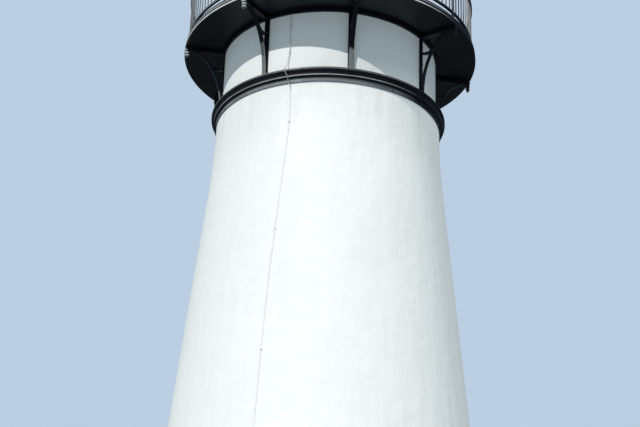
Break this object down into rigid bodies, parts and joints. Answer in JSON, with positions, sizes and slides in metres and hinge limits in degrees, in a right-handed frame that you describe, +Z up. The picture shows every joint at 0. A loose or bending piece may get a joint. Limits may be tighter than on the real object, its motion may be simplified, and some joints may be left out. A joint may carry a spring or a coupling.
{
  "type": "lighthouse",
  "caption": "Tapered white masonry lighthouse with a black belt, a bracketed iron gallery with railing, a glazed lantern and a hipped roof.",
  "frame": {"origin": "centre of the tower's foot, at ground level", "axes": "+Z up the tower's axis, -Y towards the front with the entrance, +X to the right of the front"},
  "size_m": [6.34, 6.3253, 19.9391],
  "materials": {
    "white_masonry": "painted stucco",
    "black_iron": "gloss paint",
    "deck_iron": "satin paint",
    "roof_iron": "satin paint",
    "floor_stone": "worn slab",
    "granite": "dressed",
    "painted_timber": "gloss paint",
    "window_glass": "clear",
    "lantern_glass": "clear",
    "conductor_strand": "weathered strand",
    "spindle_copper": "weathered"
  },
  "bodies": {
    "root": {"belt_course": "black_iron", "conductor_cable": "conductor_strand", "conductor_clips": "conductor_strand", "deck_collar": "black_iron", "door_frame": "painted_timber", "door_threshold": "granite", "entrance_door": "painted_timber", "gallery_bracket_1": "black_iron", "gallery_bracket_2": "black_iron", "gallery_bracket_3": "black_iron", "gallery_bracket_4": "black_iron", "gallery_bracket_5": "black_iron", "gallery_bracket_6": "black_iron", "gallery_bracket_7": "black_iron", "gallery_bracket_8": "black_iron", "gallery_deck": "deck_iron", "ground_floor": "floor_stone", "lantern_astragals": "black_iron", "lantern_base_panels": "black_iron", "lantern_cornice": "black_iron", "lantern_floor": "deck_iron", "lantern_glass": "lantern_glass", "lantern_hatch": "black_iron", "lantern_heads": "black_iron", "lantern_posts": "black_iron", "lantern_roof": "roof_iron", "lantern_sills": "black_iron", "lightning_spindle": "spindle_copper", "railing_panel_1": "black_iron", "railing_panel_2": "black_iron", "railing_panel_3": "black_iron", "railing_panel_4": "black_iron", "railing_panel_5": "black_iron", "railing_panel_6": "black_iron", "railing_panel_7": "black_iron", "railing_panel_8": "black_iron", "roof_ribs": "roof_iron", "roof_ventilator": "roof_iron", "shaft_wall_back": "white_masonry", "shaft_wall_back_left": "white_masonry", "shaft_wall_back_right": "white_masonry", "shaft_wall_front": "white_masonry", "shaft_wall_front_left": "white_masonry", "shaft_wall_front_right": "white_masonry", "shaft_wall_left": "white_masonry", "shaft_wall_right": "white_masonry", "window_frames": "painted_timber", "window_glass": "window_glass", "window_sills": "granite"}
  },
  "joints": []
}
